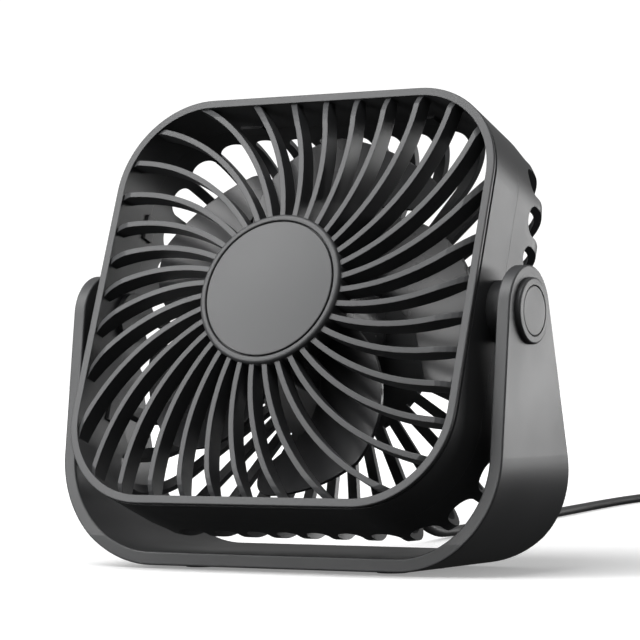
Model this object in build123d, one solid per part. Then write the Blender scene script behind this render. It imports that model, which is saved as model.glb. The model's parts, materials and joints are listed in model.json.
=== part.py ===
from build123d import *
import math
import os

# Desk fan: a rounded-square fan head that tilts on two pivots in a U-shaped bracket.
# Millimetres.  +X is the right side seen from the front, the air leaves towards -Y, +Z is up.
# The origin is on the surface that the fan stands on, under the middle of the bracket's base.
# Pieces of the head are drawn upright about the pivots, with y measured backwards along the
# fan's axis, and then tilted back into place.

# ---------------------------------------------------------------- bracket and feet
bracket_band = 4.1
side_gap = 5.7
base_clearance = 3.47
bracket_corner = 33.0
bracket_edge = 0.5
base_depth = 53.4
base_edge_height = 8.5
arm_end_radius = 13.2
pivot_forward = 5.3
foot_height = 1.0
foot_recess = 0.6
foot_radius = 4.5
foot_inset_x = 9.0
foot_inset_y = 15.0

# ---------------------------------------------------------------- head shells
head_size = 130.4
head_corner = 29.2
head_tilt = 20.0
rim_front = 16.8
rim_width = 2.5
rim_edge = 0.4
rim_lip = 0.9
rim_groove_width = 1.0
rim_groove_depth = 0.5
clip_width = 8.0
clip_thickness = 0.8
clip_reach = 2.2
clip_root = 0.3
clip_offset = 30.0
rear_back = 28.6
rear_round = 15.0
rear_wall = 2.2

# ---------------------------------------------------------------- front grille
rib_count = 35
rib_thickness = 1.7
rib_bend_radius = 68.0
rib_start_angle = 6.4
rib_first_angle = 8.6
rib_depth = 6.2
rib_rim_recess = 0.9
rib_slope_steps = ((0.0, 0.0), (1.3, 1.0), (3.0, 1.9), (5.0, 2.65), (7.2, 3.25), (9.6, 3.75), (12.0, 4.15))
dome_radius = 650.0
hub_radius = 23.6
hub_front = 22.3
hub_ring_width = 2.1
hub_edge = 1.1
hub_inner_edge = 0.4
hub_depth = 8.5
hub_plate = 1.5
badge_gap = 0.4
badge_edge = 0.25
badge_thickness = 1.3
badge_dome = 0.45

# ---------------------------------------------------------------- rear slots
slot_count = 40
slot_inner_radius = 31.5
slot_bar_width = 3.0
slot_round_start = 13.2

# ---------------------------------------------------------------- impeller
blade_count = 5
blade_gap = 6.7
blade_thickness = 1.5
blade_root_angles = (27.0, 48.0, 68.0)
blade_lead_curve = ((0.53, 15.0), (0.7, 1.0))
blade_tip_angles = (-25.0, 0.0, 23.0)
blade_trail_curve = ((0.85, 41.0), (0.64, 56.0), (0.49, 63.0))
blade_first_angle = -10.0
blade_mid_y = 0.8
blade_rise_per_degree = 0.2
blade_lead_corner = 5.0
blade_sections = 10
blade_section_angles = (-30.0, 74.0)
hub_cup_radius = 19.0
hub_cup_front = -13.0
hub_cup_back = 16.5
hub_cup_wall = 1.6
hub_cup_face = 2.2
hub_cup_edge = 1.5
hub_boss_radius = 3.6
hub_boss_back = 10.0

# ---------------------------------------------------------------- motor
motor_radius = 12.2
motor_front = 13.3
motor_can_wall = 0.8
motor_end_thickness = 2.0
motor_nose_radius = 3.4
motor_nose_length = 1.2
motor_cup_gap = 0.05
motor_cup_wall = 1.6
motor_cup_front = 15.5
magnet_thickness = 2.2
magnet_inset = 2.0
armature_gap = 0.4
armature_poles = 3
armature_slot = 1.6
armature_slot_depth = 4.0
shaft_radius = 1.0
shaft_front = 1.4
bearing_radius = 2.4
bearing_length = 1.6
bearing_fit = 0.02
shaft_end_gap = 0.2
motor_screw_offset = 8.0
motor_screw_radius = 1.0
motor_screw_head = 1.9
motor_screw_head_height = 1.0
motor_screw_bite = 1.5
tab_offset = 4.5
tab_width = 2.2
tab_thickness = 0.4

# ---------------------------------------------------------------- control housing on the back
housing_depth = 7.6
housing_wall = 1.6
housing_edge = 1.8
board_gap = 1.8
board_thickness = 1.2
board_standoff = 1.2
standoff_offset = 12.6
standoff_radius = 2.2
board_screw_radius = 0.9
board_screw_head = 1.8
board_screw_head_height = 0.9
board_screw_end_gap = 0.5
button_radius = 6.5
button_gap = 0.25
button_proud = 0.9
button_flange = 0.9
button_flange_thickness = 0.5
button_flange_gap = 0.1
button_edge = 0.4
button_travel = 0.4
switch_size = 6.0
switch_body_height = 2.1
switch_well = 0.8
plunger_radius = 1.75
plunger_seat = 0.2
plunger_gap = 0.1
lamp_radius = 1.25
lamp_offset = 11.0
lamp_gap = 0.05
lamp_recess = 0.1
lamp_chip_size = 1.6
lamp_chip_height = 0.8
lamp_chip_shift = 2.0

# ---------------------------------------------------------------- pivots
boss_radius = 9.0
boss_neck_radius = 5.2
boss_neck_gap = 0.05
boss_flange_radius = 7.6
boss_flange = 1.6
boss_thread_start = 4.0
washer_radius = 8.4
washer_thickness = 0.9
pin_radius = 2.5
pin_gap = 0.05
slide_gap = 0.04
bush_radius = 6.0
screw_head_radius = 4.3
screw_head_height = 2.1
screw_head_gap = 0.2
screw_socket_radius = 1.5
screw_socket_depth = 1.2
collar_radius = 9.7
collar_proud = 1.55
collar_taper = 0.7
collar_opening = 7.4
cover_gap = 0.2
cover_edge = 0.25

# ---------------------------------------------------------------- cord, coil and plug
cord_diameter = 3.8
gland_gap = 1.6
gland_neck_radius = 2.9
gland_flange_radius = 4.4
gland_flange = 1.4
gland_length = 20.0
gland_end_radius = 2.3
junction_clearance = 1.12
junction_gap = 0.05
lead_radius = 0.6
lead_spacing = 1.7
lead_inset = 1.8
lead_bend = 1.3
lead_clearance = 1.15
lead_hole_radius = 1.9
coil_center = (-79.1, 535.0)
coil_middle_radius = 21.0
tie_width = 9.0
tie_thickness = 0.7
tie_gap = 0.6
plug_length = 22.0
plug_width = 15.6
plug_height = 8.0
plug_edge = 1.4
plug_neck_length = 7.0
plug_neck_radius = 3.1
plug_shell_length = 18.6
plug_shell_width = 12.0
plug_shell_height = 4.5
plug_shell_wall = 0.35
plug_tongue_thickness = 1.9
plug_tongue_short = 1.0
contact_width = 1.0
contact_thickness = 0.2
contact_pitch = 2.3
contact_inset = 4.0

# ---------------------------------------------------------------- worked-out values
head_half = head_size / 2
inner_half = head_half - rim_width
arm_inner = head_half + side_gap
arm_outer = arm_inner + bracket_band
boss_end = arm_inner - 2 * slide_gap - washer_thickness
front_swing = math.hypot(head_half, rim_front)
rear_swing = math.hypot(head_half - rear_round, rear_back - rear_round) + rear_round
swing_radius = max(front_swing, rear_swing)
pivot_height = foot_height + bracket_band + base_clearance + swing_radius
pivot_y = -pivot_forward
junction_reach = swing_radius + junction_clearance
blade_tip_radius = inner_half - blade_gap
plate_front = rear_back - rear_wall
board_front = rear_back + board_standoff
board_back = board_front + board_thickness
housing_back = rear_back + housing_depth
switch_back = board_back + switch_body_height
button_front = housing_back - housing_wall - button_flange_thickness - button_flange_gap
button_back = housing_back + button_proud
gland_end = rear_back + gland_flange + gland_length
lead_end_offset = motor_radius + motor_cup_gap + motor_cup_wall + lead_clearance
board_radius = lead_end_offset + lead_radius
housing_radius = board_radius + board_gap + housing_wall
gland_offset = -(housing_radius + gland_flange_radius + gland_gap)
cord_radius = cord_diameter / 2
slot_pitch = 360.0 / slot_count
rib_pitch = 360.0 / rib_count
badge_back = hub_front - badge_thickness

tilted = Location((0, pivot_y, pivot_height)) * Location((0, 0, 0), (-head_tilt, 0, 0))
on_pivots = Location((0, pivot_y, pivot_height))
parts = {}


def block(outline, start, end):
    """An outline drawn square to the fan's axis, made solid from y = start back to y = end."""
    return extrude(Plane.XZ.offset(-end) * outline, amount=end - start)


def disc(radius, start, end):
    return block(Circle(radius), start, end)


def ring(outer, inner, start, end):
    return block(Circle(outer) - Circle(inner), start, end)


def rounded_square(half, corner, start, end):
    return block(RectangleRounded(2 * half, 2 * half, corner), start, end)


def bar(radius, start, end):
    """A round bar on the tilt axis, from x = start to x = end."""
    plane = Plane(origin=(start, 0, 0), x_dir=(0, 1, 0), z_dir=(1, 0, 0))
    return extrude(plane * Circle(radius), amount=end - start)


def turned(shape, angle):
    """The shape turned about the fan's axis, counter-clockwise seen from the front."""
    return Rot(0, -angle, 0) * shape


def on_circle(radius, angle):
    """A point of a drawing square to the fan's axis."""
    return (radius * math.cos(math.radians(angle)), radius * math.sin(math.radians(angle)))


def at_side(name, body_place, shape):
    """One piece of the right pivot and its mirror image in the left one."""
    parts["right_" + name] = body_place * shape
    parts["left_" + name] = body_place * mirror(shape, about=Plane.YZ)


# ---------------------------------------------------------------- bracket
def arm_tangent(edge, sign):
    """Where a straight arm edge from the base meets the round end about the pivot."""
    dy = edge - pivot_y
    dz = foot_height + base_edge_height - pivot_height
    turn = math.atan2(dz, dy) + sign * math.acos(arm_end_radius / math.hypot(dy, dz))
    return (pivot_y + arm_end_radius * math.cos(turn), pivot_height + arm_end_radius * math.sin(turn))


def make_bracket():
    half_depth = base_depth / 2
    top = pivot_height + arm_end_radius
    past = top + bracket_corner
    outside = Pos(0, (foot_height + past) / 2) * RectangleRounded(
        2 * arm_outer, past - foot_height, bracket_corner
    )
    floor = foot_height + bracket_band
    inside = Pos(0, (floor + past + bracket_corner) / 2) * RectangleRounded(
        2 * arm_inner, past + bracket_corner - floor, bracket_corner - bracket_band
    )
    band = block(outside - inside, -half_depth, half_depth)
    front_top = arm_tangent(-half_depth, -1)
    rear_top = arm_tangent(half_depth, 1)
    edge_height = foot_height + base_edge_height
    outline = Polyline(
        front_top,
        (-half_depth, edge_height),
        (-half_depth, 0),
        (half_depth, 0),
        (half_depth, edge_height),
        rear_top,
    ) + ThreePointArc(rear_top, (pivot_y, top), front_top)
    side = extrude(Plane.YZ * make_face(outline), amount=2 * arm_outer, both=True)
    shape = fillet((band & side).edges(), bracket_edge)
    shape -= on_pivots * bar(bush_radius, -2 * arm_outer, 2 * arm_outer)
    for place in foot_places():
        shape -= place * make_foot()
    return shape


def make_foot():
    return extrude(Circle(foot_radius), amount=foot_height + foot_recess)


def foot_places():
    x = arm_outer - bracket_corner - foot_inset_x
    y = base_depth / 2 - foot_inset_y
    return [Pos(sx * x, sy * y, 0) for sy in (-1, 1) for sx in (-1, 1)]


def make_feet():
    for number, place in enumerate(foot_places(), 1):
        parts[f"foot_{number}"] = place * make_foot()


# ---------------------------------------------------------------- pivots
def make_pivots():
    seat = arm_outer - screw_head_gap - screw_head_height
    bush = bar(bush_radius, arm_inner, arm_outer) - bar(pin_radius + pin_gap, 0, arm_outer)
    bush -= bar(screw_head_radius + cover_gap, seat - slide_gap, arm_outer)
    at_side("pivot_bush", on_pivots, bush)

    washer = bar(washer_radius, arm_inner - washer_thickness, arm_inner)
    washer -= bar(pin_radius + pin_gap, 0, arm_outer)
    at_side("friction_washer", on_pivots, washer)

    collar = bar(collar_radius, arm_outer, arm_outer + collar_proud)
    rim = collar.faces().sort_by(Axis.X)[-1].edges()
    collar = fillet(rim, collar_taper) - bar(collar_opening, arm_outer, arm_outer + collar_proud)
    at_side("pivot_collar", on_pivots, collar)

    cover = bar(collar_opening - cover_gap, arm_outer, arm_outer + collar_proud - slide_gap)
    cover = fillet(cover.faces().sort_by(Axis.X)[-1].edges(), cover_edge)
    at_side("pivot_cover", on_pivots, cover)

    boss = bar(boss_flange_radius, inner_half - boss_flange, inner_half)
    boss += bar(boss_neck_radius, inner_half, head_half)
    boss += bar(boss_radius, head_half, boss_end)
    pin_start = head_half - boss_thread_start
    boss -= bar(pin_radius, pin_start, boss_end)
    at_side("pivot_boss", tilted, boss)

    screw = bar(pin_radius, pin_start, seat) + bar(screw_head_radius, seat, seat + screw_head_height)
    socket_plane = Plane(origin=(seat + screw_head_height, 0, 0), x_dir=(0, 1, 0), z_dir=(1, 0, 0))
    screw -= extrude(socket_plane * RegularPolygon(screw_socket_radius, 6), amount=-screw_socket_depth)
    at_side("pivot_screw", tilted, screw)


# ---------------------------------------------------------------- front shell and badge
def make_rib():
    """A curved upright slat from the hub ring to past the rim, bending counter-clockwise."""
    start = hub_radius - hub_ring_width / 2
    lean = math.radians(rib_start_angle)
    middle = (start - rib_bend_radius * math.sin(lean), rib_bend_radius * math.cos(lean))
    corner = head_corner - rim_width
    reach = (inner_half - corner) * math.sqrt(2) + corner + rim_width / 2

    def angle_at_middle(radius):
        """Between the fan's axis and the point of the bend at this distance from the axis."""
        far = math.hypot(*middle)
        cosine = (far**2 + rib_bend_radius**2 - radius**2) / (2 * far * rib_bend_radius)
        return math.degrees(math.acos(cosine))

    def bent(radius, angle):
        x, z = on_circle(radius, rib_start_angle - 90 + angle)
        return (middle[0] + x, middle[1] + z)

    outer = rib_bend_radius + rib_thickness / 2
    inner = rib_bend_radius - rib_thickness / 2
    end = angle_at_middle(reach) - angle_at_middle(start)
    outline = (
        ThreePointArc(bent(outer, 0), bent(outer, end / 2), bent(outer, end))
        + Line(bent(outer, end), bent(inner, end))
        + ThreePointArc(bent(inner, end), bent(inner, end / 2), bent(inner, 0))
        + Line(bent(inner, 0), bent(outer, 0))
    )
    return block(make_face(outline), -hub_front - 1, 0)


def grille_space():
    """Where the ribs are: under a shallow dome that rounds down to just behind the rim."""
    rim_level = rim_front - rib_rim_recess
    space = rounded_square(inner_half + rim_width / 2, head_corner - rim_width / 2, -rim_level, 0)
    outlines = []
    for inset, rise in rib_slope_steps:
        half = inner_half - inset
        outline = RectangleRounded(2 * half, 2 * half, head_corner - rim_width - inset)
        outlines.append(Plane.XZ.offset(rim_level + rise) * outline)
    for low, high in zip(outlines, outlines[1:]):
        space += loft([low, high], ruled=True)
    space += extrude(outlines[-1], amount=hub_front)
    crown = hub_front - hub_edge + hub_radius**2 / (2 * dome_radius)
    space &= Pos(0, dome_radius - crown, 0) * Sphere(dome_radius)
    return space - Pos(0, dome_radius - crown + rib_depth, 0) * Sphere(dome_radius)


def make_front_shell():
    wall = rounded_square(head_half, head_corner, -rim_front, 0)
    wall = fillet(wall.faces().sort_by(Axis.Y)[0].edges(), rim_edge)
    wall -= rounded_square(inner_half, head_corner - rim_width, -rim_front - 1, 1)
    groove_front = -rim_front + rim_lip
    groove_back = groove_front + rim_groove_width
    floor_half = head_half - rim_groove_depth
    groove = rounded_square(head_half + 1, head_corner + 1, groove_front, groove_back)
    wall -= groove - rounded_square(floor_half, head_corner - rim_groove_depth, groove_front, groove_back)
    rib = make_rib()
    ribs = [turned(rib, rib_first_angle + number * rib_pitch) for number in range(rib_count)]
    grille = Compound(ribs) & grille_space()
    hub = disc(hub_radius, -hub_front, -hub_front + hub_depth)
    hub = fillet(hub.faces().sort_by(Axis.Y)[0].edges(), hub_edge)
    hub -= disc(hub_radius - hub_ring_width, -hub_front, -badge_back)
    ring_edges = hub.faces().sort_by(Axis.Y)[0].edges()
    hub = fillet(ring_edges.sort_by(SortBy.LENGTH)[0], hub_inner_edge)
    hub -= disc(hub_radius - hub_ring_width, -badge_back + hub_plate, 0)
    shell = wall + grille.solids() + hub
    clip = Box(clip_thickness + clip_root, 2 * clip_reach, clip_width)
    for side in range(4):
        for offset in (-clip_offset, clip_offset):
            place = Pos(inner_half - (clip_thickness - clip_root) / 2, 0, offset)
            shell += turned(place * clip, side * 90)
    for x in (-head_half, head_half):
        shell -= bar(boss_neck_radius + boss_neck_gap, x - 2 * rim_width, x + 2 * rim_width)
    return shell


def make_badge():
    radius = hub_radius - hub_ring_width - badge_gap
    badge = disc(radius, -hub_front - badge_dome, -badge_back)
    sag_radius = (radius**2 + badge_dome**2) / (2 * badge_dome)
    badge &= Pos(0, sag_radius - hub_front - badge_dome, 0) * Sphere(sag_radius)
    edges = badge.edges().filter_by(GeomType.CIRCLE).sort_by(Axis.Y)
    return fillet(edges[0], badge_edge)


# ---------------------------------------------------------------- rear shell
def slot_cutter():
    """A wedge between two bars of even width, with a round front end on the side walls."""
    half_pitch = math.radians(slot_pitch / 2)
    apex = slot_bar_width / 2 / math.sin(half_pitch)
    near = slot_inner_radius
    far = head_half * 1.5

    def half_width(radius):
        return (radius - apex) * math.tan(half_pitch)

    outline = make_face(
        Polyline(
            (near, -half_width(near)),
            (far, -half_width(far)),
            (far, half_width(far)),
            (near, half_width(near)),
            close=True,
        )
    )
    wedge = block(outline, slot_round_start, rear_back + 5)
    end = Rot(0, 90, 0) * Cone(half_width(near), half_width(far), far - near)
    return wedge + Pos((near + far) / 2, slot_round_start, 0) * end


def make_rear_shell():
    outer = rounded_square(head_half, head_corner, 0, rear_back)
    outer = fillet(outer.faces().sort_by(Axis.Y)[-1].edges(), rear_round)
    inner = rounded_square(head_half - rear_wall, head_corner - rear_wall, -1, plate_front)
    inner = fillet(inner.faces().sort_by(Axis.Y)[-1].edges(), rear_round - rear_wall)
    shell = outer - inner
    cutter = slot_cutter()
    shell -= [turned(cutter, number * slot_pitch) for number in range(slot_count)]
    cup_inner = motor_radius + motor_cup_gap
    shell += ring(cup_inner + motor_cup_wall, cup_inner, motor_cup_front, plate_front)
    for z in (-standoff_offset, standoff_offset):
        shell += Pos(0, 0, z) * disc(standoff_radius, rear_back, board_front)
        shell -= Pos(0, 0, z) * disc(board_screw_radius, plate_front, board_front)
    for x in (-motor_screw_offset, motor_screw_offset):
        shell -= Pos(x, 0, 0) * disc(motor_screw_radius, plate_front, rear_back)
    for z in (-tab_offset, tab_offset):
        shell -= Pos(0, 0, z) * disc(tab_width, plate_front, rear_back)
    shell -= Pos(-lead_end_offset, 0, 0) * disc(lead_hole_radius, plate_front, rear_back)
    shell -= Pos(gland_offset, 0, 0) * disc(gland_neck_radius, plate_front, rear_back)
    for x in (-head_half, head_half):
        shell -= bar(boss_neck_radius + boss_neck_gap, x - 2 * rim_width, x + 2 * rim_width)
    return shell


# ---------------------------------------------------------------- motor and impeller
def make_motor():
    can_front = motor_front
    can = disc(motor_radius, can_front, plate_front)
    can += disc(motor_nose_radius, can_front - motor_nose_length, can_front)
    bore = motor_radius - motor_can_wall
    can -= disc(bore, can_front + motor_can_wall, plate_front)
    can -= disc(bearing_radius, can_front - motor_nose_length, can_front + motor_can_wall)
    parts["motor_can"] = tilted * can

    cap_front = plate_front - motor_end_thickness
    cap = disc(bore, cap_front, plate_front) - disc(bearing_radius, cap_front, plate_front)
    for x in (-motor_screw_offset, motor_screw_offset):
        cap -= Pos(x, 0, 0) * disc(motor_screw_radius, plate_front - motor_screw_bite, plate_front)
    tab_slot = Box(tab_width, 2 * rear_wall, tab_thickness)
    for z in (-tab_offset, tab_offset):
        cap -= Pos(0, plate_front, z) * tab_slot
    parts["motor_end_cap"] = tilted * cap

    magnet_front = can_front + motor_can_wall + magnet_inset
    magnet_back = cap_front - magnet_inset / 2
    magnets = ring(bore, bore - magnet_thickness, magnet_front, magnet_back)
    parts["motor_magnets"] = tilted * magnets

    core_radius = bore - magnet_thickness - armature_gap
    armature = disc(core_radius, magnet_front, magnet_back)
    slot = Box(2 * armature_slot_depth, 2 * motor_radius, armature_slot)
    slot = Pos(core_radius, (magnet_front + magnet_back) / 2, 0) * slot
    for number in range(armature_poles):
        armature -= turned(slot, 360 / armature_poles * number)
    armature -= disc(shaft_radius, magnet_front, magnet_back)
    parts["motor_armature"] = tilted * armature

    for name, start in (("front", can_front - motor_nose_length), ("rear", cap_front)):
        bearing = ring(bearing_radius, shaft_radius + bearing_fit, start, start + bearing_length)
        parts[name + "_bearing"] = tilted * bearing
    parts["motor_shaft"] = tilted * disc(shaft_radius, shaft_front, plate_front - shaft_end_gap)

    for number, x in enumerate((-motor_screw_offset, motor_screw_offset), 1):
        screw = disc(motor_screw_radius, plate_front - motor_screw_bite, rear_back)
        screw += disc(motor_screw_head, rear_back, rear_back + motor_screw_head_height)
        parts[f"motor_screw_{number}"] = tilted * Pos(x, 0, 0) * screw
    tab = Box(tab_width, board_front - plate_front + rear_wall, tab_thickness)
    tab_y = (board_front + plate_front - rear_wall) / 2
    for number, z in enumerate((-tab_offset, tab_offset), 1):
        parts[f"motor_tab_{number}"] = tilted * Pos(0, tab_y, z) * tab


def blade_outline():
    """A broad petal seen from the front, swept so that its tip goes first, clockwise."""
    tip = blade_tip_radius
    root = hub_cup_radius - hub_cup_wall / 2
    roots = [on_circle(root, angle) for angle in blade_root_angles]
    lead = [on_circle(share * tip, angle) for share, angle in blade_lead_curve]
    tips = [on_circle(tip, angle) for angle in blade_tip_angles]
    trail = [on_circle(share * tip, angle) for share, angle in blade_trail_curve]
    outline = (
        ThreePointArc(roots[0], lead[0], lead[1])
        + Line(lead[1], tips[0])
        + ThreePointArc(tips[0], tips[1], tips[2])
        + ThreePointArc(tips[2], trail[0], trail[1])
        + ThreePointArc(trail[1], trail[2], roots[2])
        + ThreePointArc(roots[2], roots[1], roots[0])
    )
    face = make_face(outline)
    lead_corner = face.vertices().sort_by_distance((*tips[0], 0))[0]
    return fillet(lead_corner, blade_lead_corner)


def make_blade():
    """A twisted plate that comes forward evenly with the angle round it."""
    first, last = blade_section_angles
    inner = hub_cup_radius - hub_cup_wall
    length = blade_tip_radius + blade_thickness - inner
    sections = []
    for step in range(blade_sections):
        angle = first + (last - first) * step / (blade_sections - 1)
        y = blade_mid_y - blade_rise_per_degree * angle
        section = Pos(inner + length / 2, y) * Rectangle(length, blade_thickness)
        sections.append(turned(section, angle))
    return loft(sections) & block(blade_outline(), -hub_front, hub_cup_back)


def make_impeller():
    cup = disc(hub_cup_radius, hub_cup_front, hub_cup_back)
    cup = fillet(cup.faces().sort_by(Axis.Y)[0].edges(), hub_cup_edge)
    cup -= disc(hub_cup_radius - hub_cup_wall, hub_cup_front + hub_cup_face, hub_cup_back)
    cup += disc(hub_boss_radius, hub_cup_front + hub_cup_face, hub_boss_back)
    blade = make_blade()
    angles = [blade_first_angle + number * 360 / blade_count for number in range(blade_count)]
    impeller = cup + [turned(blade, angle) for angle in angles]
    return impeller - disc(shaft_radius, shaft_front, hub_boss_back)


# ---------------------------------------------------------------- controls
def make_controls():
    housing = disc(housing_radius, rear_back, housing_back)
    housing = fillet(housing.faces().sort_by(Axis.Y)[-1].edges(), housing_edge)
    housing -= disc(housing_radius - housing_wall, rear_back, housing_back - housing_wall)
    housing -= disc(button_radius + button_gap, rear_back, housing_back)
    housing -= Pos(0, 0, lamp_offset) * disc(lamp_radius + lamp_gap, rear_back, housing_back)
    parts["control_housing"] = tilted * housing

    board = disc(board_radius, board_front, board_back)
    for z in (-standoff_offset, standoff_offset):
        board -= Pos(0, 0, z) * disc(board_screw_radius, board_front, board_back)
    parts["circuit_board"] = tilted * board
    for number, z in enumerate((-standoff_offset, standoff_offset), 1):
        screw = disc(board_screw_radius, plate_front + board_screw_end_gap, board_back)
        screw += disc(board_screw_head, board_back, board_back + board_screw_head_height)
        parts[f"board_screw_{number}"] = tilted * Pos(0, 0, z) * screw

    switch = block(Rectangle(switch_size, switch_size), board_back, switch_back)
    switch -= disc(plunger_radius + plunger_gap, switch_back - switch_well, switch_back)
    parts["switch_body"] = tilted * switch
    parts["switch_plunger"] = tilted * disc(plunger_radius, switch_back - plunger_seat, button_front)

    button = disc(button_radius, button_front, button_back)
    button = fillet(button.faces().sort_by(Axis.Y)[-1].edges(), button_edge)
    button += disc(button_radius + button_flange, button_front, button_front + button_flange_thickness)
    parts["speed_button"] = tilted * button

    lens = disc(lamp_radius, switch_back, housing_back - lamp_recess)
    parts["lamp_lens"] = tilted * Pos(0, 0, lamp_offset) * lens
    lamp = block(Rectangle(lamp_chip_size, lamp_chip_size), board_back, board_back + lamp_chip_height)
    parts["lamp"] = tilted * Pos(0, 0, lamp_offset - lamp_chip_shift) * lamp


# ---------------------------------------------------------------- cord
def report_bends(name, points, radii, tube, length):
    bends = ", ".join(f"{radius:.1f}" for radius in radii)
    print(f"{name}: length {length:.1f}, bend radii {bends}")
    section = math.pi * cord_radius**2
    print(f"{name}: volume {tube.volume:.1f}, section times length {section * length:.1f}")


def make_tube(name, points):
    """A round tube of straight runs and tangent arcs, each arc as large as its runs allow."""
    radii = []
    for before, here, after in zip(points, points[1:], points[2:]):
        into = Vector(*here) - Vector(*before)
        away = Vector(*after) - Vector(*here)
        half_turn = math.radians(into.get_angle(away) / 2)
        radii.append(0.45 * min(into.length, away.length) / math.tan(half_turn))
    path = FilletPolyline(*points, radius=radii)
    plane = Plane(origin=path @ 0, z_dir=path % 0)
    tube = sweep(plane * Circle(cord_radius), path=path)
    report_bends(name, points, radii, tube, path.length)
    return tube


def make_cord():
    neck = disc(gland_neck_radius, plate_front, rear_back)
    neck += disc(gland_flange_radius, rear_back, rear_back + gland_flange)
    sleeve_start = rear_back + gland_flange
    taper = Pos(0, (sleeve_start + gland_end) / 2, 0) * Rot(-90, 0, 0)
    neck += taper * Cone(gland_neck_radius, gland_end_radius, gland_length)
    parts["strain_relief"] = tilted * Pos(gland_offset, 0, 0) * neck
    stub = disc(cord_radius, gland_end, junction_reach)
    parts["cord_start"] = tilted * Pos(gland_offset, 0, 0) * stub

    # The cord leaves the back of the head, hangs down to the surface and runs away behind.
    junction = (tilted * Pos(gland_offset, junction_reach + junction_gap, 0)).position
    route = [
        (junction.X, junction.Y, junction.Z),
        (-25.5, 78.0, 45.6),
        (-27.0, 96.0, 34.0),
        (-29.5, 111.0, 20.0),
        (-32.5, 127.0, 8.6),
        (-36.0, 146.0, 2.9),
        (-41.5, 170.0, cord_radius),
        (-48.0, 203.0, cord_radius),
        (-58.0, 248.0, cord_radius),
        (-67.0, 300.0, cord_radius),
        (-78.0, 352.0, cord_radius),
        (-88.5, 402.0, cord_radius),
        (-97.5, 450.0, cord_radius),
        (-102.5, 494.0, cord_radius),
        (-102.0, 535.0, cord_radius),
    ]
    parts["cord_tube"] = make_tube("cord_tube", route)

    # Four and a half turns: two deep on the inside, and a third layer half way round outside.
    coil_height = 3 * cord_diameter
    two_layers = Pos(coil_middle_radius, cord_diameter) * Rectangle(2 * cord_diameter, 2 * cord_diameter)
    top_layer = Pos(coil_middle_radius + cord_radius, coil_height - cord_radius) * Rectangle(
        cord_diameter, cord_diameter
    )
    coil = revolve(Plane.XZ * two_layers, Axis.Z) + revolve(Plane.XZ * top_layer, Axis.Z, 180)
    room = 2 * (cord_diameter + tie_gap)
    tie = Pos(0, 0, (coil_height + tie_thickness) / 2) * Box(
        tie_width, room + 2 * tie_thickness, coil_height + tie_thickness
    )
    tie -= Pos(0, 0, (coil_height + tie_thickness) / 2) * Box(tie_width, room, coil_height - tie_thickness)
    tie = Pos(0, coil_middle_radius, 0) * tie
    coil_place = Pos(coil_center[0], coil_center[1], 0)
    parts["cord_coil"] = coil_place * (coil - tie)
    parts["cord_tie"] = coil_place * tie

    end_x = coil_center[0] + coil_middle_radius + cord_radius
    top = coil_height - cord_radius
    plug_z = plug_height / 2
    end_route = [
        (end_x, coil_center[1], top),
        (end_x + 0.3, coil_center[1] - 14.0, top),
        (end_x + 1.2, coil_center[1] - 28.0, top - 2.9),
        (end_x + 2.4, coil_center[1] - 42.0, plug_z),
        (end_x + 3.9, coil_center[1] - 54.0, plug_z),
    ]
    parts["cord_end"] = make_tube("cord_end", end_route)
    return end_route


def make_plug(end_route):
    """A flat USB plug lying on the surface at the cord's far end, pointing along the last run."""
    tail = Vector(*end_route[-1])
    way = tail - Vector(*end_route[-2])
    angle = math.degrees(math.atan2(way.Y, way.X))
    place = Pos(tail.X, tail.Y, tail.Z) * Rot(0, 0, angle)
    neck = Rot(0, 90, 0) * Cone(gland_end_radius, plug_neck_radius, plug_neck_length)
    neck = Pos(plug_neck_length / 2, 0, 0) * neck
    body_start = plug_neck_length
    body = Box(plug_length, plug_width, plug_height)
    body = fillet(body.edges().filter_by(Axis.X), plug_edge)
    body = Pos(body_start + plug_length / 2, 0, 0) * body
    parts["plug_body"] = place * (neck + body)

    shell_start = body_start + plug_length
    shell = Box(plug_shell_length, plug_shell_width, plug_shell_height)
    shell -= Box(
        plug_shell_length, plug_shell_width - 2 * plug_shell_wall, plug_shell_height - 2 * plug_shell_wall
    )
    parts["plug_shell"] = place * Pos(shell_start + plug_shell_length / 2, 0, 0) * shell

    tongue_length = plug_shell_length - plug_tongue_short
    tongue = Box(tongue_length, plug_shell_width - 2 * plug_shell_wall, plug_tongue_thickness)
    tongue_z = (plug_shell_height - plug_tongue_thickness) / 2 - plug_shell_wall
    parts["plug_tongue"] = place * Pos(shell_start + tongue_length / 2, 0, tongue_z) * tongue
    for number in range(4):
        contact = Box(tongue_length - contact_inset, contact_width, contact_thickness)
        y = (number - 1.5) * contact_pitch
        z = tongue_z - (plug_tongue_thickness + contact_thickness) / 2
        parts[f"plug_contact_{number + 1}"] = place * Pos(shell_start + tongue_length / 2, y, z) * contact


def make_leads():
    """Two supply wires from the strain relief through the back plate to the board."""
    for number, z in enumerate((-lead_spacing / 2, lead_spacing / 2), 1):
        inside = plate_front - lead_inset
        path = FilletPolyline(
            (gland_offset, plate_front, z),
            (gland_offset, inside, z),
            (-lead_end_offset, inside, z),
            (-lead_end_offset, board_front, z),
            radius=lead_bend,
        )
        wire = sweep(Plane(origin=path @ 0, z_dir=path % 0) * Circle(lead_radius), path=path)
        parts[f"supply_lead_{number}"] = tilted * wire


parts["bracket"] = make_bracket()
make_feet()
make_pivots()
parts["front_shell"] = tilted * make_front_shell()
parts["badge"] = tilted * make_badge()
parts["rear_shell"] = tilted * make_rear_shell()
make_motor()
parts["impeller"] = tilted * make_impeller()
make_controls()
make_leads()
make_plug(make_cord())

os.makedirs("parts", exist_ok=True)
for name, shape in parts.items():
    solids = shape.solids()
    if len(solids) != 1:
        print(f"{name} has {len(solids)} solids")
    export_step(shape, f"parts/{name}.step")
print(f"{len(parts)} parts")
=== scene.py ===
import json
import math
import bpy
from mathutils import Matrix, Vector


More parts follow.
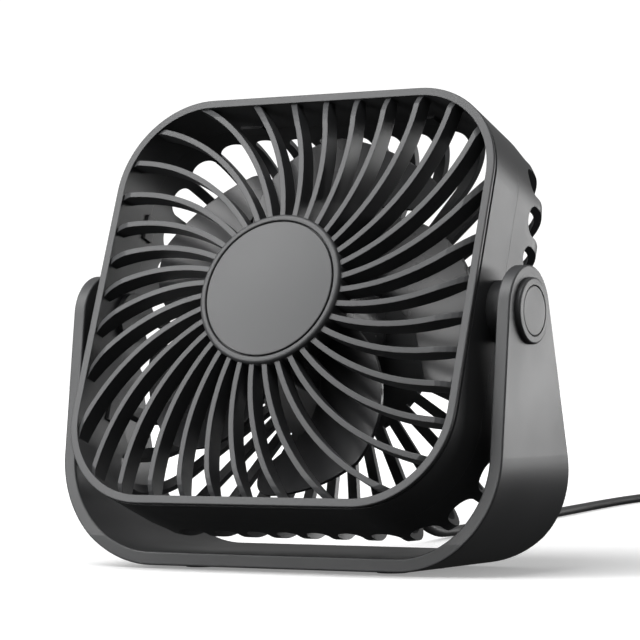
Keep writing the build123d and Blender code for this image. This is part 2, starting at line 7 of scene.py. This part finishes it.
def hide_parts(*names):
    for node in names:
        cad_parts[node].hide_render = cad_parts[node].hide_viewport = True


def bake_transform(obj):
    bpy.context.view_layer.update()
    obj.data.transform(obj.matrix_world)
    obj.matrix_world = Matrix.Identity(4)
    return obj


# A small desk fan.  Metres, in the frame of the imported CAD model: +X to the right seen from the
# front, the air leaves towards -Y, +Z up, the surface it stands on at z = 0.

# ---------------------------------------------------------------- camera
camera_at = Vector((0.43539, -0.74938, 0.05524))
camera_aim = Vector((0.005336, -0.0053, 0.0743))
camera_roll = math.radians(-0.265)
camera_lens = 161.56

# ---------------------------------------------------------------- light
look_at = (0.0, 0.0, 0.08)
sky_strength = 0.28
ground_strength = 0.03
backdrop_white = 1.1
floor_albedo = 0.8
floor_glow_near = 0.27
floor_glow_far = 1.1
floor_glow_start = 0.1
floor_glow_reach = 1.6
floor_reach = 30.0
horizon_blur = 0.12

# ---------------------------------------------------------------- the head's own frame
pivot = Vector((0.0, -0.0053, 0.0759))
head_tilt = math.radians(20.0)

# ---------------------------------------------------------------- cord
cord_diameter = 0.0038
coil_center = Vector((-0.0791, 0.535, 0.0))
coil_outer_radius = 0.0229
coil_inner_radius = 0.0191
coil_turns = 4.5
coil_change_start = 0.75
points_per_turn = 16
curve_pull = 1.0195

# ---------------------------------------------------------------- surfaces
cloud_scale = 28.0
edge_dark_cosine = 0.995
edge_light_cosine = 0.85
edge_share = 0.7
gloss_spread = 0.04
loop_scale = 2200.0

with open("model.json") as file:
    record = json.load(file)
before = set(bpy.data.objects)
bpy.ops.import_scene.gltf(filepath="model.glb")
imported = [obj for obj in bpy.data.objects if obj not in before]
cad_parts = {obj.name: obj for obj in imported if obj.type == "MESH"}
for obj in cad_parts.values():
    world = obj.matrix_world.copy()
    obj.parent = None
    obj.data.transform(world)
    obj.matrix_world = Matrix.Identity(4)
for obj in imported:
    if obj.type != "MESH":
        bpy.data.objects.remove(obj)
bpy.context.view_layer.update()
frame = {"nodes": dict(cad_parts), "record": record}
nodes = frame["nodes"]


def head_point(x, y, z):
    """A point of the upright head, y measured backwards from the tilt axis, where it is at rest."""
    return pivot + Matrix.Rotation(-head_tilt, 3, "X") @ Vector((x, y, z))


def link(obj):
    bpy.context.scene.collection.objects.link(obj)
    return obj


# ---------------------------------------------------------------- materials
def new_material(name):
    material = bpy.data.materials.new(name)
    material.use_nodes = True
    tree = material.node_tree
    return material, tree, tree.nodes["Principled BSDF"]


def noise(tree, scale, detail, roughness=0.5):
    coordinates = tree.nodes.new("ShaderNodeTexCoord")
    texture = tree.nodes.new("ShaderNodeTexNoise")
    texture.inputs["Scale"].default_value = scale
    texture.inputs["Detail"].default_value = detail
    texture.inputs["Roughness"].default_value = roughness
    tree.links.new(coordinates.outputs["Object"], texture.inputs["Vector"])
    return texture.outputs["Fac"]


def ramp(tree, value, low, high, start, end):
    node = tree.nodes.new("ShaderNodeMapRange")
    node.inputs["From Min"].default_value = low
    node.inputs["From Max"].default_value = high
    node.inputs["To Min"].default_value = start
    node.inputs["To Max"].default_value = end
    tree.links.new(value, node.inputs["Value"])
    return node.outputs["Result"]


def mix_color(tree, factor, first, second):
    node = tree.nodes.new("ShaderNodeMix")
    node.data_type = "RGBA"
    tree.links.new(factor, node.inputs["Factor"])
    node.inputs["A"].default_value = (*first, 1)
    node.inputs["B"].default_value = (*second, 1)
    return node.outputs["Result"]


def edge_mask(tree, radius):
    """1 along sharp edges and 0 on flat faces, from how far a rounded normal leans, and that normal."""
    rounded = tree.nodes.new("ShaderNodeBevel")
    rounded.samples = 4
    rounded.inputs["Radius"].default_value = radius
    geometry = tree.nodes.new("ShaderNodeNewGeometry")
    lean = tree.nodes.new("ShaderNodeVectorMath")
    lean.operation = "DOT_PRODUCT"
    tree.links.new(rounded.outputs["Normal"], lean.inputs[0])
    tree.links.new(geometry.outputs["True Normal"], lean.inputs[1])
    mask = ramp(tree, lean.outputs["Value"], edge_dark_cosine, edge_light_cosine, 0.0, 1.0)
    return mask, rounded.outputs["Normal"]


def moulded(name, color, roughness, grain=0.00045, depth=0.00002, edge_wear_and_highlight=0.35, metallic=0.0, edge=0.00035):
    """A moulded or machined surface: fine grain, uneven gloss, and edges painted lighter, partly as
    rubbed wear and partly as a painted highlight.
    """
    material, tree, shader = new_material(name)
    fine = noise(tree, 1.0 / grain, 3.0)
    cloudy = noise(tree, cloud_scale, 4.0, 0.6)
    mask, rounded = edge_mask(tree, edge)
    # Painted highlight along the edges, partly standing in for rubbed wear: the edge colour is lighter
    # than the body, mixed in by the edge mask.
    wear_and_highlight_color = tuple(min(1.0, c * (1 + edge_wear_and_highlight) + 0.02 * edge_wear_and_highlight) for c in color)
    dark = tuple(c * 0.93 for c in color)
    body = mix_color(tree, ramp(tree, cloudy, 0.35, 0.65, 0.0, 1.0), dark, color)
    wear_and_highlight_mix = tree.nodes.new("ShaderNodeMix")
    wear_and_highlight_mix.data_type = "RGBA"
    tree.links.new(ramp(tree, mask, 0.0, 1.0, 0.0, edge_share), wear_and_highlight_mix.inputs["Factor"])
    tree.links.new(body, wear_and_highlight_mix.inputs["A"])
    wear_and_highlight_mix.inputs["B"].default_value = (*wear_and_highlight_color, 1)
    tree.links.new(wear_and_highlight_mix.outputs["Result"], shader.inputs["Base Color"])
    gloss = ramp(tree, cloudy, 0.3, 0.7, roughness - gloss_spread, roughness + gloss_spread)
    tree.links.new(gloss, shader.inputs["Roughness"])
    bump = tree.nodes.new("ShaderNodeBump")
    bump.inputs["Strength"].default_value = 0.5
    bump.inputs["Distance"].default_value = depth
    tree.links.new(fine, bump.inputs["Height"])
    tree.links.new(rounded, bump.inputs["Normal"])
    tree.links.new(bump.outputs["Normal"], shader.inputs["Normal"])
    shader.inputs["Metallic"].default_value = metallic
    return material


def woven(name, color):
    """A hook-and-loop strap: fuzzy loops over a fine weave."""
    material, tree, shader = new_material(name)
    coordinates = tree.nodes.new("ShaderNodeTexCoord")
    loops = tree.nodes.new("ShaderNodeTexVoronoi")
    loops.inputs["Scale"].default_value = loop_scale
    tree.links.new(coordinates.outputs["Object"], loops.inputs["Vector"])
    shade = tuple(c * 0.5 for c in color)
    tone = mix_color(tree, ramp(tree, loops.outputs["Distance"], 0.0, 0.7, 0.0, 1.0), color, shade)
    tree.links.new(tone, shader.inputs["Base Color"])
    shader.inputs["Roughness"].default_value = 0.9
    shader.inputs["Sheen Weight"].default_value = 0.3
    bump = tree.nodes.new("ShaderNodeBump")
    bump.inputs["Strength"].default_value = 0.8
    bump.inputs["Distance"].default_value = 0.0002
    tree.links.new(loops.outputs["Distance"], bump.inputs["Height"])
    tree.links.new(bump.outputs["Normal"], shader.inputs["Normal"])
    return material


finishes = {
    "stand_plastic": moulded("stand_plastic", (0.052, 0.053, 0.055), 0.42),
    "shell_plastic": moulded("shell_plastic", (0.046, 0.047, 0.049), 0.42),
    "badge_plastic": moulded("badge_plastic", (0.05, 0.051, 0.053), 0.38, grain=0.0003, depth=0.00001),
    # Strong painted highlight along the blade edges.
    "impeller_plastic": moulded(
        "impeller_plastic", (0.04, 0.04, 0.042), 0.26, grain=0.002, depth=0.00003, edge_wear_and_highlight=1.2, edge=0.0006
    ),
    "button_plastic": moulded("button_plastic", (0.04, 0.041, 0.043), 0.4),
    "switch_plastic": moulded("switch_plastic", (0.02, 0.02, 0.02), 0.5),
    "board": moulded("board", (0.015, 0.11, 0.04), 0.35),
    "lamp": moulded("lamp", (0.7, 0.72, 0.75), 0.25),
    "lamp_lens": moulded("lamp_lens", (0.45, 0.5, 0.55), 0.2),
    "motor_steel": moulded("motor_steel", (0.5, 0.5, 0.51), 0.35, metallic=1.0),
    "motor_cap_plastic": moulded("motor_cap_plastic", (0.7, 0.68, 0.62), 0.45),
    "magnet": moulded("magnet", (0.07, 0.07, 0.075), 0.6),
    "armature": moulded("armature", (0.35, 0.3, 0.26), 0.4, metallic=1.0),
    "bearing_bronze": moulded("bearing_bronze", (0.55, 0.36, 0.16), 0.4, metallic=1.0),
    "contact_brass": moulded("contact_brass", (0.8, 0.6, 0.22), 0.25, metallic=1.0),
    "screw_steel": moulded("screw_steel", (0.42, 0.42, 0.43), 0.35, metallic=1.0),
    "bush_plastic": moulded("bush_plastic", (0.03, 0.03, 0.031), 0.35),
    "washer_fibre": moulded("washer_fibre", (0.05, 0.045, 0.04), 0.8),
    "foot_rubber": moulded("foot_rubber", (0.015, 0.015, 0.015), 0.75),
    "cord_rubber": moulded("cord_rubber", (0.03, 0.03, 0.031), 0.45, grain=0.0006, edge_wear_and_highlight=0.1, edge=0.0001),
    "lead_red": moulded("lead_red", (0.45, 0.02, 0.015), 0.4, edge_wear_and_highlight=0.1),
    "lead_black": moulded("lead_black", (0.02, 0.02, 0.02), 0.4, edge_wear_and_highlight=0.1),
    "tie_plastic": woven("tie_plastic", (0.025, 0.025, 0.026)),
    "plug_plastic": moulded("plug_plastic", (0.035, 0.035, 0.036), 0.4),
    "plug_steel": moulded("plug_steel", (0.6, 0.6, 0.61), 0.28, metallic=1.0),
    "plug_tongue_plastic": moulded("plug_tongue_plastic", (0.8, 0.8, 0.79), 0.45),
}
for part in frame["record"]["subparts"]:
    mesh = nodes[part["node"]].data
    mesh.materials.clear()
    mesh.materials.append(finishes[part["material_slot"]])


# ---------------------------------------------------------------- cord
def coil_points():
    """The turns, clockwise from above: each change of place is made before the turn is closed."""
    low, middle, high = (cord_diameter * (layer + 0.5) for layer in range(3))
    places = [
        (coil_outer_radius, low),
        (coil_inner_radius, low),
        (coil_inner_radius, middle),
        (coil_outer_radius, middle),
        (coil_outer_radius, high),
        (coil_outer_radius, high),
    ]
    points = []
    for step in range(int(coil_turns * points_per_turn) + 1):
        turn, share = divmod(step / points_per_turn, 1)
        blend = max(0.0, (share - coil_change_start) / (1 - coil_change_start))
        blend = blend * blend * (3 - 2 * blend)
        radius = places[int(turn)][0] * (1 - blend) + places[int(turn) + 1][0] * blend
        height = places[int(turn)][1] * (1 - blend) + places[int(turn) + 1][1] * blend
        angle = math.pi - 2 * math.pi * step / points_per_turn
        reach = radius * curve_pull
        points.append(coil_center + Vector((reach * math.cos(angle), reach * math.sin(angle), height)))
    return points


def cord_points():
    """From inside the strain relief, down to the surface, away behind, round the coil, to the plug."""
    half = cord_diameter / 2
    points = [head_point(-0.025, y, 0.0) for y in (0.031, 0.04, 0.049, 0.058, 0.067)]
    points += [
        Vector(point)
        for point in (
            (-0.0255, 0.078, 0.0456),
            (-0.027, 0.096, 0.034),
            (-0.0295, 0.111, 0.02),
            (-0.0325, 0.127, 0.0086),
            (-0.036, 0.146, 0.0029),
            (-0.0415, 0.17, half),
            (-0.048, 0.203, half),
            (-0.058, 0.248, half),
            (-0.067, 0.3, half),
            (-0.078, 0.352, half),
            (-0.0885, 0.402, half),
            (-0.0975, 0.45, half),
            (-0.1025, 0.494, half),
        )
    ]
    points += coil_points()
    points += [
        Vector(point)
        for point in (
            (-0.0559, 0.521, 0.0095),
            (-0.055, 0.507, 0.0066),
            (-0.0538, 0.493, 0.004),
            (-0.0523, 0.481, 0.004),
            (-0.0521, 0.479, 0.004),
        )
    ]
    return points


def smooth_curve(name, points, depth):
    data = bpy.data.curves.new(name, "CURVE")
    data.dimensions = "3D"
    data.resolution_u = 6
    data.bevel_depth = depth
    data.bevel_resolution = 4
    data.use_fill_caps = depth > 0
    spline = data.splines.new("NURBS")
    spline.points.add(len(points) - 1)
    for place, point in zip(spline.points, points):
        place.co = (*point, 1.0)
    spline.order_u = 3
    spline.use_endpoint_u = True
    return link(bpy.data.objects.new(name, data))


def as_mesh(curve):
    bpy.context.view_layer.update()
    evaluated = curve.evaluated_get(bpy.context.evaluated_depsgraph_get())
    return bpy.data.meshes.new_from_object(evaluated)


def make_cord():
    points = cord_points()
    line = smooth_curve("cord_line", points, 0.0)
    path = [tuple(vertex.co) for vertex in as_mesh(line).vertices]
    bpy.data.objects.remove(line)
    tube = smooth_curve("cord_shape", points, cord_diameter / 2)
    mesh = as_mesh(tube)
    bpy.data.objects.remove(tube)
    mesh.materials.clear()
    mesh.materials.append(finishes["cord_rubber"])
    mesh.shade_smooth()
    cord = link(bpy.data.objects.new("cord", mesh))
    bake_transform(cord)
    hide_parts("cord_start", "cord_tube", "cord_coil", "cord_end")
    on_it = ["cord_tie", "plug_body", "plug_shell", "plug_tongue"]
    on_it += [f"plug_contact_{number}" for number in range(1, 5)]


make_cord()


# ---------------------------------------------------------------- camera, floor and light
def make_camera():
    data = bpy.data.cameras.new("camera")
    data.lens = camera_lens
    data.sensor_width = 36.0
    camera = link(bpy.data.objects.new("camera", data))
    look = (camera_aim - camera_at).to_track_quat("-Z", "Y").to_matrix().to_4x4()
    camera.matrix_world = Matrix.Translation(camera_at) @ look @ Matrix.Rotation(camera_roll, 4, "Z")
    bpy.context.scene.camera = camera


def make_floor():
    """A wide plain surface that takes shadows and doesn't throw light back up at the fan."""
    mesh = bpy.data.meshes.new("floor")
    corners = [(x * floor_reach, y * floor_reach, 0) for x, y in ((-1, -1), (1, -1), (1, 1), (-1, 1))]
    mesh.from_pydata(corners, [], [(0, 1, 2, 3)])
    material, tree, shader = new_material("floor")
    shader.inputs["Base Color"].default_value = (floor_albedo, floor_albedo, floor_albedo, 1)
    shader.inputs["Roughness"].default_value = 0.9
    shader.inputs["Specular IOR Level"].default_value = 0.1
    shader.inputs["Emission Color"].default_value = (1, 1, 1, 1)
    geometry = tree.nodes.new("ShaderNodeNewGeometry")
    away = tree.nodes.new("ShaderNodeVectorMath")
    away.operation = "LENGTH"
    tree.links.new(geometry.outputs["Position"], away.inputs[0])
    distance = away.outputs["Value"]
    # Painted light: the floor glows, weakest near the fan and white far off, so the floor is painted
    # darker around the fan.
    glow = ramp(tree, distance, floor_glow_start, floor_glow_reach, floor_glow_near, floor_glow_far)
    tree.links.new(glow, shader.inputs["Emission Strength"])
    mesh.materials.append(material)
    floor = link(bpy.data.objects.new("floor", mesh))
    floor.visible_diffuse = False
    floor.visible_glossy = False


def make_world():
    world = bpy.data.worlds.new("world")
    bpy.context.scene.world = world
    world.use_nodes = True
    tree = world.node_tree
    background = tree.nodes["Background"]
    background.inputs["Color"].default_value = (1, 1, 1, 1)
    coordinates = tree.nodes.new("ShaderNodeTexCoord")
    parts = tree.nodes.new("ShaderNodeSeparateXYZ")
    tree.links.new(coordinates.outputs["Generated"], parts.inputs["Vector"])
    height = ramp(tree, parts.outputs["Z"], -horizon_blur, horizon_blur, ground_strength, sky_strength)
    seen = tree.nodes.new("ShaderNodeLightPath")
    choose = tree.nodes.new("ShaderNodeMix")
    choose.data_type = "FLOAT"
    tree.links.new(seen.outputs["Is Camera Ray"], choose.inputs["Factor"])
    tree.links.new(height, choose.inputs["A"])
    choose.inputs["B"].default_value = backdrop_white
    tree.links.new(choose.outputs["Result"], background.inputs["Strength"])


def softbox(name, place, size, power):
    data = bpy.data.lights.new(name, "AREA")
    data.shape = "RECTANGLE"
    data.size, data.size_y = size
    data.energy = power
    lamp = link(bpy.data.objects.new(name, data))
    turn = (Vector(look_at) - Vector(place)).to_track_quat("-Z", "Y").to_matrix().to_4x4()
    lamp.matrix_world = Matrix.Translation(Vector(place)) @ turn


make_camera()
make_floor()
make_world()
bpy.context.scene.view_settings.view_transform = "Standard"
softbox("key", (-1.0, -0.85, 1.02), (0.8, 0.8), 12.5)
softbox("front_left", (-0.85, -1.25, 0.28), (1.0, 0.55), 10.0)
softbox("top", (-0.2, -0.6, 1.3), (1.0, 0.7), 14.0)
softbox("right_back", (0.95, 1.15, 0.12), (1.5, 0.36), 10.0)
